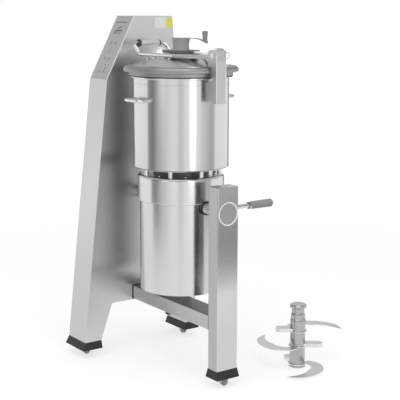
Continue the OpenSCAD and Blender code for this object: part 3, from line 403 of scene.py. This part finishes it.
barSteel = {
    "brightRod": {"tone": 0.70, "roughness": 0.13},
    "handleBar": {"tone": 0.72, "roughness": 0.15},
    "pinSteel": {"tone": 0.62, "roughness": 0.22},
    "bladeSteel": {"tone": 0.80, "roughness": 0.42},
    # a pale finish for thin strips painted on as highlights
    "paintedHighlight": {"tone": 0.95, "roughness": 0.40},
    "seamShadow": {"tone": 0.20, "roughness": 0.45},
    "seamGrey": {"tone": 0.42, "roughness": 0.35},
    "sleeveTube": {"tone": 0.88, "roughness": 0.30},
    "cutterSteel": {"tone": 0.45, "roughness": 0.22},
    "innerSteel": {"tone": 0.42, "roughness": 0.40},
    "castIron": {"tone": 0.16, "roughness": 0.55},
    "copperWinding": {"tone": 0.0, "roughness": 0.45},
    "bushBronze": {"tone": 0.0, "roughness": 0.35},
}
warmMetals = {"copperWinding": ((0.42, 0.19, 0.08, 1), (0.55, 0.27, 0.12, 1)),
              "bushBronze": ((0.42, 0.28, 0.13, 1), (0.52, 0.36, 0.18, 1))}


def polishedBar(name):
    look = barSteel[name]
    material, graph = newMaterial(name)
    streak = graph.noise(1.0, 3.0, 0.5, (260, 260, 260))
    handling = graph.noise(30.0, 5.0, 0.6)
    tone = look["tone"]
    dark, light = warmMetals.get(name, (grey(tone * 0.93), grey(tone * 1.06)))
    colour = graph.blend(handling, dark, light)
    rough = look["roughness"] + (handling - 0.5) * 0.10 + (streak - 0.5) * 0.05
    normal = graph.bump(streak, 0.03, 0.0002)
    closeMaterial(graph, {"Base Color": colour, "Metallic": 1.0, "Roughness": rough, "Normal": normal})
    return material


moulded = {
    "capRubber": {"dark": (0.013, 0.013, 0.014, 1), "light": (0.026, 0.026, 0.028, 1),
                  "roughness": 0.55, "pitch": 420},
    "sealRubber": {"dark": (0.02, 0.02, 0.02, 1), "light": (0.035, 0.035, 0.035, 1),
                   "roughness": 0.6, "pitch": 300},
    "gripPlastic": {"dark": (0.32, 0.325, 0.33, 1), "light": (0.37, 0.375, 0.38, 1),
                    "roughness": 0.42, "pitch": 520},
    "knobPlastic": {"dark": (0.25, 0.25, 0.255, 1), "light": (0.29, 0.29, 0.295, 1),
                    "roughness": 0.40, "pitch": 520},
    "hubPlastic": {"dark": (0.35, 0.355, 0.36, 1), "light": (0.41, 0.415, 0.42, 1),
                   "roughness": 0.42, "pitch": 480},
    "wheelTread": {"dark": (0.36, 0.36, 0.355, 1), "light": (0.45, 0.45, 0.44, 1),
                   "roughness": 0.5, "pitch": 300},
    "glandPlastic": {"dark": (0.03, 0.03, 0.03, 1), "light": (0.05, 0.05, 0.05, 1),
                     "roughness": 0.5, "pitch": 350},
    "keyPlastic": {"dark": (0.30, 0.305, 0.31, 1), "light": (0.36, 0.365, 0.37, 1),
                   "roughness": 0.45, "pitch": 600},
    "boardGreen": {"dark": (0.012, 0.09, 0.03, 1), "light": (0.02, 0.14, 0.05, 1),
                   "roughness": 0.45, "pitch": 200},
    "driveBlack": {"dark": (0.03, 0.03, 0.032, 1), "light": (0.06, 0.06, 0.064, 1),
                   "roughness": 0.5, "pitch": 260},
    "wiperPlastic": {"dark": (0.62, 0.62, 0.60, 1), "light": (0.70, 0.70, 0.68, 1),
                     "roughness": 0.4, "pitch": 300},
    "paperWhite": {"dark": (0.90, 0.90, 0.89, 1), "light": (0.96, 0.96, 0.95, 1),
                   "roughness": 0.5, "pitch": 700},
    "paperYellow": {"dark": (0.86, 0.80, 0.12, 1), "light": (0.92, 0.87, 0.16, 1),
                    "roughness": 0.5, "pitch": 700},
    # dark print, also used for the painted shadow at the display's edges
    "panelInkAndShadow": {"dark": (0.035, 0.035, 0.038, 1), "light": (0.06, 0.06, 0.064, 1),
                 "roughness": 0.5, "pitch": 700},
    "panelLine": {"dark": (0.52, 0.52, 0.52, 1), "light": (0.60, 0.60, 0.60, 1),
                  "roughness": 0.5, "pitch": 700},
    "flangeDark": {"dark": (0.10, 0.10, 0.103, 1), "light": (0.14, 0.14, 0.144, 1),
                   "roughness": 0.45, "pitch": 400},
    "lampLens": {"dark": (0.03, 0.05, 0.03, 1), "light": (0.05, 0.09, 0.05, 1),
                 "roughness": 0.2, "pitch": 300},
}


def mouldedPlastic(name):
    look = moulded[name]
    material, graph = newMaterial(name)
    spark = graph.noise(look["pitch"], 3.0, 0.6)
    rubbed = graph.noise(14.0, 4.0, 0.55)
    colour = graph.blend(rubbed, look["dark"], look["light"])
    rough = look["roughness"] + (rubbed - 0.5) * 0.14 + (spark - 0.5) * 0.10
    normal = graph.bump(spark, 0.18, 0.0003)
    closeMaterial(graph, {"Base Color": colour, "Roughness": rough, "Normal": normal})
    return material


glassLook = {"dark": (0.25, 0.265, 0.26, 1), "light": (0.31, 0.325, 0.32, 1),
             "roughness": (0.08, 0.16), "coat": 0.6}


def displayGlass():
    material, graph = newMaterial("displayGlass")
    haze = graph.noise(60.0, 3.0)
    colour = graph.blend(haze, glassLook["dark"], glassLook["light"])
    rough = graph.between(haze, *glassLook["roughness"])
    closeMaterial(graph, {"Base Color": colour, "Roughness": rough, "Coat Weight": glassLook["coat"]})
    return material


pivotLook = {"faceTone": 0.43, "grain": 0.05, "rimHighlightTone": 0.97, "rimRadius": 0.0412, "rimEdge": 0.0006,
             "roughness": 0.30}


def pivotDisc():
    # the disc's face is brushed like the post; its raised rim is painted pale as a highlight, and is more
    # matt
    material, graph = newMaterial("pivotDisc")
    across = graph.axis("Y") - axisY
    up = graph.axis("Z") - pivotZ
    far = graph.node("ShaderNodeMath", {"operation": "SQRT"}, {0: across * across + up * up})
    radius, edge, tone = pivotLook["rimRadius"], pivotLook["rimEdge"], pivotLook["faceTone"]
    rim = graph.step(far, radius - edge, radius + edge)
    grain = brushLines(graph, True)
    face = graph.blend(grain, grey(tone - pivotLook["grain"]), grey(tone + pivotLook["grain"]))
    # the rim's pale colour is a painted highlight on the raised edge
    colour = graph.blend(rim, face, grey(pivotLook["rimHighlightTone"]))
    rough = pivotLook["roughness"] + (grain - 0.5) * 0.1 + rim * 0.12
    closeMaterial(graph, {"Base Color": colour, "Metallic": 1.0, "Roughness": rough,
                          "Normal": graph.bump(grain, 0.08, 0.0002)})
    return material


makers = {brushedSheet: sheetSteel, turnedShell: turnedSteel, polishedBar: barSteel, mouldedPlastic: moulded}
finish = {name: make(name) for make, looks in makers.items() for name in looks}
finish["displayGlass"] = displayGlass()
finish["pivotDisc"] = pivotDisc()

finishOf = {
    "consoleSheet": ["console_body", "rear_cover"],
    "frameSheet": ["post", "post_lid"],
    "beamSheet": ["beam"],
    "panelSheet": ["control_panel"],
    "displayGlass": ["display_window"],
    "lampLens": ["indicator_lamps"],
    "boardGreen": ["control_board"],
    "driveBlack": ["motor_drive"],
    "keyPlastic": [f"key_{number}" for number in range(1, 7)],
    "capRubber": ["foot_cap_front", "foot_cap_rear", "foot_cap_post"],
    "pinSteel": ["castor_plates", "fork_front", "fork_rear", "fork_post", "hinge_pin", "trunnions",
                 "drive_shaft"],
    "wheelTread": ["wheel_front", "wheel_rear", "wheel_post"],
    "bushBronze": ["pivot_bushes"],
    "brightRod": ["lever_rod", "lid_yoke", "spacer_studs"],
    "sleeveTube": ["yoke_sleeve"],
    "pivotDisc": ["pivot_ring"],
    "handleBar": ["bowl_handles"],
    "glandPlastic": ["cable_gland"],
    "motorShell": ["motor_housing", "motor_cover", "motor_base"],
    "copperWinding": ["stator"],
    "innerSteel": ["bearings", "rotor"],
    "castIron": ["shaft_neck"],
    "gripPlastic": ["lever_grip"],
    "bowlShell": ["bowl"],
    "bracketSheet": ["hinge_bracket"],
    "ringCasting": ["lid_ring"],
    "domeShell": ["lid_dome"],
    "sealRubber": ["lid_seal"],
    "capPressing": ["filling_cap"],
    "hubPlastic": ["wiper"],
    "wiperPlastic": ["wiper_blade"],
    "knobPlastic": ["crank_knob"],
    "cutterSteel": ["cutter_hub", "cutter_spacers", "cutter_cap"],
    "bladeSteel": ["blade_lower", "blade_middle", "blade_upper"],
}


def dressNodes():
    for name, members in finishOf.items():
        for member in members:
            mesh = nodes[member].data
            mesh.materials.clear()
            mesh.materials.append(finish[name])
    left = set(nodes) - {member for members in finishOf.values() for member in members}
    print("nodes without a finish:", sorted(left) or "none")


dressNodes()
print("finishes on")


def at(x, y, z):
    # a point by its distances from the bowl's axis
    return Vector((x, axisY + y, z))


def circleLoop(radius, height, count=64):
    return [(radius * math.cos(math.tau * i / count), radius * math.sin(math.tau * i / count), height)
            for i in range(count)]


def hexLoop(across, height, count=24):
    # a hexagon of that width across its flats, with count points so that it joins a circle
    points = []
    for i in range(count):
        angle = math.tau * i / count
        reach = across / 2 / math.cos((angle + math.pi / 6) % (math.pi / 3) - math.pi / 6)
        points.append((reach * math.cos(angle), reach * math.sin(angle), height))
    return points


def plateLoop(width, depth, corner, height, perCorner=6):
    # a rectangle with rounded corners
    points = []
    for turn, (sx, sy) in enumerate(((1, 1), (-1, 1), (-1, -1), (1, -1))):
        for i in range(perCorner + 1):
            angle = math.pi / 2 * (turn + i / perCorner)
            points.append((sx * (width / 2 - corner) + corner * math.cos(angle),
                           sy * (depth / 2 - corner) + corner * math.sin(angle), height))
    return points


def loftMesh(name, loops, place, closed=False, crease=0.6):
    # loops of equal length joined in order: capped at both ends, or closed into a ring
    form = bmesh.new()
    rows = [[form.verts.new(place @ Vector(point)) for point in loop] for loop in loops]
    pairs = list(zip(rows, rows[1:])) + ([(rows[-1], rows[0])] if closed else [])
    for lower, upper in pairs:
        for index, corner in enumerate(lower):
            after = (index + 1) % len(lower)
            form.faces.new((corner, lower[after], upper[after], upper[index]))
    if not closed:
        form.faces.new(list(reversed(rows[0])))
        form.faces.new(rows[-1])
    bmesh.ops.recalc_face_normals(form, faces=form.faces)
    for face in form.faces:
        face.smooth = True
    for edge in form.edges:
        edge.smooth = edge.calc_face_angle(0.0) < crease
    mesh = bpy.data.meshes.new(name)
    form.to_mesh(mesh)
    form.free()
    return mesh


def addPiece(name, mesh, finishName, body):
    mesh.materials.append(finish[finishName])
    piece = bpy.data.objects.new(name, mesh)
    bpy.context.scene.collection.objects.link(piece)
    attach(piece, body)


def facing(x=0.0, y=0.0, z=0.0):
    # a frame turned by these degrees about X, then Y, then Z
    turn = Matrix.Rotation(math.radians(z), 4, "Z") @ Matrix.Rotation(math.radians(y), 4, "Y")
    return turn @ Matrix.Rotation(math.radians(x), 4, "X")


outward = Matrix(((0, 0, 1, 0), (1, 0, 0, 0), (0, 1, 0, 0), (0, 0, 0, 1)))    # its Z points along +X
sunk = 0.00002     # how far a pad or ring goes into the face that it lies on


def band(inner, outer, low, high, soft=0.0003):
    # the section of a ring with softened outer edges, as loops
    return [circleLoop(inner, low), circleLoop(outer - soft, low), circleLoop(outer, low + soft),
            circleLoop(outer, high - soft), circleLoop(outer - soft, high), circleLoop(inner, high)]


def pad(width, depth, corner, rise, soft):
    # a thin plate that lies on a face, with a softened upper edge
    return [plateLoop(width, depth, corner, 0.0), plateLoop(width, depth, corner, rise - soft),
            plateLoop(width - 2 * soft, depth - 2 * soft, corner - soft, rise)]


panelFace = {
    "bend": (-0.165, 1.176),     # the foot of the sloped face: from the bowl's axis along Y, and height
    "slopeDegrees": 27.7036,     # from upright
    # each mark: across and up the face from the middle of its foot, width, depth
    "inkAndShadow": {"topLine": (-0.006, 0.262, 0.084, 0.0032), "levelLow": (-0.013, 0.2345, 0.009, 0.0046),
            "levelMid": (-0.003, 0.2375, 0.009, 0.0060), "levelHigh": (0.007, 0.2400, 0.008, 0.0044),
            # painted shadow: the two display marks are dark strips along the display's top and left edges,
            # where its recess is shaded
            "displayTopShadow": (-0.003, 0.2245, 0.052, 0.0036), "displaySideShadow": (-0.0275, 0.216, 0.0040, 0.019)},
    "lines": {"footLine": (0.0, 0.019, 0.096, 0.0014), "lowLine": (0.0, 0.0815, 0.096, 0.0012),
              "midLine": (0.0, 0.110, 0.096, 0.0012), "highLine": (0.0, 0.188, 0.096, 0.0012)},
    "markRise": 0.0003,
    "markSoft": 0.0001,
}
keyRings = {"across": (-0.023, 0.011), "up": (0.167, 0.096, 0.035), "radii": (0.0072, 0.0082),
            "rise": 0.0004, "soft": 0.0001}
# the pale strips along the sloped face's side edges are painted highlights
panelHighlights = {"length": 0.2885, "middle": 0.14625, "corner": 0.001, "rise": 0.0010, "soft": 0.0004,
               "sides": {"inner": (0.06665, 0.0072), "outer": (-0.06645, 0.0036)}}      # across, width


def dressPanel():
    foot = at(middleOf("console_body").x, *panelFace["bend"])
    face = Matrix.Translation(foot) @ facing(x=90 - panelFace["slopeDegrees"])
    # the dark marks are print, except the two display marks, which are painted shadow
    for group, finishName in (("inkAndShadow", "panelInkAndShadow"), ("lines", "panelLine")):
        for name, (across, up, width, depth) in panelFace[group].items():
            loops = pad(width, depth, min(width, depth) * 0.4, panelFace["markRise"], panelFace["markSoft"])
            mesh = loftMesh(name, loops, face @ Matrix.Translation((across, up, -sunk)))
            addPiece(f"panel_{name}", mesh, finishName, "frame")
    spots = [(across, up) for up in keyRings["up"] for across in keyRings["across"]]
    for number, (across, up) in enumerate(spots, 1):
        loops = band(*keyRings["radii"], 0.0, keyRings["rise"], keyRings["soft"])
        mesh = loftMesh("keyRing", loops, face @ Matrix.Translation((across, up, -sunk)), closed=True)
        addPiece(f"panel_ring_{number}", mesh, "panelLine", "frame")
    # painted highlights: pale strips along the panel's two side edges, where the folds catch the light
    for side, (across, width) in panelHighlights["sides"].items():
        loops = pad(width, panelHighlights["length"], panelHighlights["corner"], panelHighlights["rise"],
                    panelHighlights["soft"])
        mesh = loftMesh("panelEdgeHighlight", loops, face @ Matrix.Translation((across, panelHighlights["middle"], 0.0)))
        addPiece(f"panel_highlight_{side}", mesh, "paintedHighlight", "frame")


stickerSheet = {"corner": 0.002, "rise": 0.00025, "soft": 0.0001}
stickers = {
    # spot: from the bowl's axis along Y, and height
    "white": {"spot": (0.0985, 1.406), "size": (0.0556, 0.046), "finish": "paperWhite"},
    "yellow": {"spot": (0.1425, 1.405), "size": (0.030, 0.042), "finish": "paperYellow"},
}


def stickOn():
    # two blank sheets on the console's side that faces the bowl
    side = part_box("console_body")[1].x
    for name, sheet in stickers.items():
        mesh = loftMesh(name, pad(*sheet["size"], **stickerSheet),
                        Matrix.Translation(at(side, *sheet["spot"])) @ outward)
        addPiece(f"sticker_{name}", mesh, sheet["finish"], "frame")


def trunnionSeal(x):
    return {"place": (x, 0, tiltZ), "way": "X", "radii": (0.0251, 0.0280), "length": 0.005,
            "finish": "capRubber", "body": "bowl_unit", "slot": "trunnion_steel"}


def cutterSeam(height):
    hub = middleOf("cutter_hub")
    return {"place": (hub.x, hub.y - axisY, height), "way": "Z", "radii": (0.0314, 0.0320), "length": 0.0012,
            "finish": "seamShadow", "body": "cutter", "slot": "cutter_steel"}


tiltZ = middleOf("lever_rod").z      # the lever's rod lies as high as the tilting axis
pinMiddle = middleOf("hinge_pin")
rings = {
    # place: where the ring starts, from the bowl's axis and the floor; way: the axis that it runs along
    "lever_collar": {"place": (0.222, 0.171, tiltZ), "way": "Y", "radii": (0.0091, 0.0145), "length": 0.011,
                     "finish": "cutterSteel", "body": "bowl_unit", "slot": "grip_grey"},
    "trunnion_seal_post": trunnionSeal(0.1750),
    "trunnion_seal_console": trunnionSeal(-0.1800),
    "bowl_seam": {"place": (0, 0, 1.1755), "way": "Z", "radii": (0.1928, 0.1934), "length": 0.0016,
                  "finish": "seamGrey", "body": "bowl_unit", "slot": "bowl_steel"},
    "motor_seam": {"place": (0, 0, 0.7098), "way": "Z", "radii": (0.1680, 0.1752), "length": 0.0014,
                   "finish": "seamShadow", "body": "bowl_unit", "slot": "motor_steel"},
    # painted highlight: a pale ring above the seam stands for the light on the cover's lower rim
    "motor_rim_highlight": {"place": (0, 0, 0.7114), "way": "Z", "radii": (0.1750, 0.1759), "length": 0.0018,
                  "finish": "paintedHighlight", "body": "bowl_unit", "slot": "motor_steel"},
    "bowl_floor_bead": {"place": (0, 0, 0.846), "way": "Z", "radii": (0.1928, 0.1936), "length": 0.0016,
                        "finish": "seamShadow", "body": "bowl_unit", "slot": "bowl_steel"},
    "sleeve_end_front": {"place": (-0.230, -0.053, 1.326), "way": "Y", "radii": (0.0083, 0.0155),
                         "length": 0.007, "finish": "driveBlack", "body": "lid", "slot": "bright_rod"},
    "sleeve_end_rear": {"place": (-0.230, 0.046, 1.326), "way": "Y", "radii": (0.0083, 0.0125),
                        "length": 0.005, "finish": "driveBlack", "body": "lid", "slot": "bright_rod"},
    "hub_neck": {"place": (0, 0, 1.2878), "way": "Z", "radii": (0.0378, 0.0440), "length": 0.0060,
                 "finish": "flangeDark", "body": "lid", "slot": "dome_steel"},
    "hub_flange": {"place": (0, 0, 1.2932), "way": "Z", "radii": (0.0378, 0.0740), "length": 0.0105,
                   "finish": "flangeDark", "body": "lid", "slot": "dome_steel"},
    "hinge_washer": {"place": (pinMiddle.x, -0.0255, pinMiddle.z), "way": "Y", "radii": (0.0061, 0.0105),
                     "length": 0.0015, "finish": "pinSteel", "body": "bowl_unit", "slot": "bright_rod"},
    "cutter_seam_low": cutterSeam(0.0845),
    "cutter_seam_mid": cutterSeam(0.1485),
    "cutter_seam_top": cutterSeam(0.1992),
}


def addRings():
    ways = {"X": facing(y=90), "Y": facing(x=-90), "Z": facing()}
    for name, look in rings.items():
        base = Matrix.Translation(at(*look["place"])) @ ways[look["way"]]
        mesh = loftMesh(name, band(*look["radii"], 0.0, look["length"]), base, closed=True)
        addPiece(name, mesh, look["finish"], look["body"])


bracketHighlight = {"width": 0.0026, "corner": 0.0008, "rise": 0.0006, "soft": 0.0003,
               "inset": 0.0004, "topGap": 0.020, "lowGap": 0.003}


def paintBracketHighlights():
    # painted highlights: two pale upright strips stand for the light that the folded edges of the hinge
    # strap catch
    look = bracketHighlight
    low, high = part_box("hinge_bracket")
    length = high.z - low.z - look["topGap"] - look["lowGap"]
    middle = low.z + look["lowGap"] + length / 2
    inset = look["width"] / 2 + look["inset"]
    for side, y in (("near", low.y + inset), ("far", high.y - inset)):
        loops = pad(look["width"], length, look["corner"], look["rise"], look["soft"])
        mesh = loftMesh("bracketHighlight", loops, Matrix.Translation((high.x - sunk, y, middle)) @ outward)
        addPiece(f"bracket_highlight_{side}", mesh, "paintedHighlight", "bowl_unit")


handleWelds = {"barAcross": 0.050, "barRadius": 0.007, "wallRadius": 0.193, "rise": 0.0022, "corners": 6}


def weldHandles():
    # a low bead where each end of a handle meets the bowl's wall
    look = handleWelds
    up = middleOf("bowl_handles").z
    reach = math.sqrt(look["wallRadius"] ** 2 - look["barAcross"] ** 2)
    loops = []
    for corner in range(look["corners"]):
        swing = math.tau * corner / look["corners"]
        loops.append(circleLoop(look["barRadius"] + look["rise"] * (0.5 + 0.5 * math.cos(swing)),
                                look["rise"] * math.sin(swing), 48))
    for number, (sx, sy) in enumerate(((-1, -1), (1, -1), (-1, 1), (1, 1)), 1):
        base = Matrix.Translation(at(sx * look["barAcross"], sy * reach, up)) @ facing(x=-90 * sy)
        mesh = loftMesh("handleWeld", loops, base, closed=True, crease=1.2)
        addPiece(f"handle_weld_{number}", mesh, "handleBar", "bowl_unit")


screwHead = {
    "radius": 0.0048, "height": 0.0030, "socketWidth": 0.0045, "socketDepth": 0.0018,
    # shares of the radius and of the height
    "profile": ((1.0, 0.0), (1.0, 0.25), (0.93, 0.62), (0.74, 0.9), (0.62, 1.0)),
}
coverScrews = {"count": 8, "circle": 0.140, "firstDegrees": -72.5}
hubScrew = {"height": 1.342, "size": 1.9}
rearScrews = {"rows": 4, "across": (-0.0607, 0.0607), "firstUp": 0.2420, "pitch": 0.35167,
              "lean": 0.133,        # how far the console's back leans forward over its height
              "seat": 0.0016}


def socketScrew(name, base, body, size=1.0):
    # a button head with a hexagon socket
    radius, height = screwHead["radius"] * size, screwHead["height"] * size
    socket, depth = screwHead["socketWidth"] * size, screwHead["socketDepth"] * size
    loops = [circleLoop(radius * wide, height * high, 24) for wide, high in screwHead["profile"]]
    loops += [hexLoop(socket, height), hexLoop(socket, height - depth)]
    addPiece(name, loftMesh(name, loops, base), "pinSteel", body)


def addScrews():
    # on the motor's top, between the studs, on the wiper's hub and on the console's back
    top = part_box("motor_cover")[1].z
    for number in range(coverScrews["count"]):
        angle = math.tau * number / coverScrews["count"] + math.radians(coverScrews["firstDegrees"])
        place = at(coverScrews["circle"] * math.cos(angle), coverScrews["circle"] * math.sin(angle), top)
        socketScrew(f"cover_screw_{number + 1}", Matrix.Translation(place), "bowl_unit")
    hub = Matrix.Translation(at(0, 0, hubScrew["height"]))
    socketScrew("hub_screw", hub, "wiper", hubScrew["size"])
    low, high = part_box("console_body")
    slope = math.degrees(math.atan2(rearScrews["lean"], high.z - low.z))
    back = Matrix.Translation(((low.x + high.x) / 2, high.y, low.z)) @ facing(x=90 - slope, z=180)
    spots = [(across, row) for row in range(rearScrews["rows"]) for across in rearScrews["across"]]
    for number, (across, row) in enumerate(spots, 1):
        up = rearScrews["firstUp"] + row * rearScrews["pitch"]
        base = back @ Matrix.Translation((across, up, rearScrews["seat"]))
        socketScrew(f"rear_screw_{number}", base, "frame")


beamGasket = {"corner": 0.005, "fit": 0.0001, "lip": 0.0022, "length": 0.0025}
beamPlug = {
    "place": (-0.042, -0.031), "radius": 0.017, "drop": 0.011,
    # shares of the radius and of the drop
    "profile": ((1.0, 0.0), (1.0, 0.4), (0.93, 0.75), (0.7, 0.95), (0.3, 1.0)),
}


def trimBeam():
    # a dark gasket where the beam meets the console, and a cable plug under the beam
    low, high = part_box("beam")
    fit, lip, length = beamGasket["fit"], beamGasket["lip"], beamGasket["length"]
    tall, wide = high.z - low.z, high.y - low.y
    loops = [plateLoop(tall + 2 * grow, wide + 2 * grow, beamGasket["corner"] + grow, along)
             for grow, along in ((fit, 0.0), (lip, 0.0), (lip, length), (fit, length))]
    base = Matrix.Translation((low.x, (low.y + high.y) / 2, (low.z + high.z) / 2)) @ facing(y=90)
    mesh = loftMesh("beamGasket", loops, base, closed=True)
    addPiece("beam_gasket", mesh, "capRubber", "frame")
    loops = [circleLoop(beamPlug["radius"] * wide, beamPlug["drop"] * deep, 48)
             for wide, deep in beamPlug["profile"]]
    base = Matrix.Translation(at(*beamPlug["place"], low.z)) @ facing(x=180)
    addPiece("beam_plug", loftMesh("beamPlug", loops, base), "capRubber", "frame")


dressPanel()
stickOn()
addRings()
weldHandles()
paintBracketHighlights()
addScrews()
trimBeam()
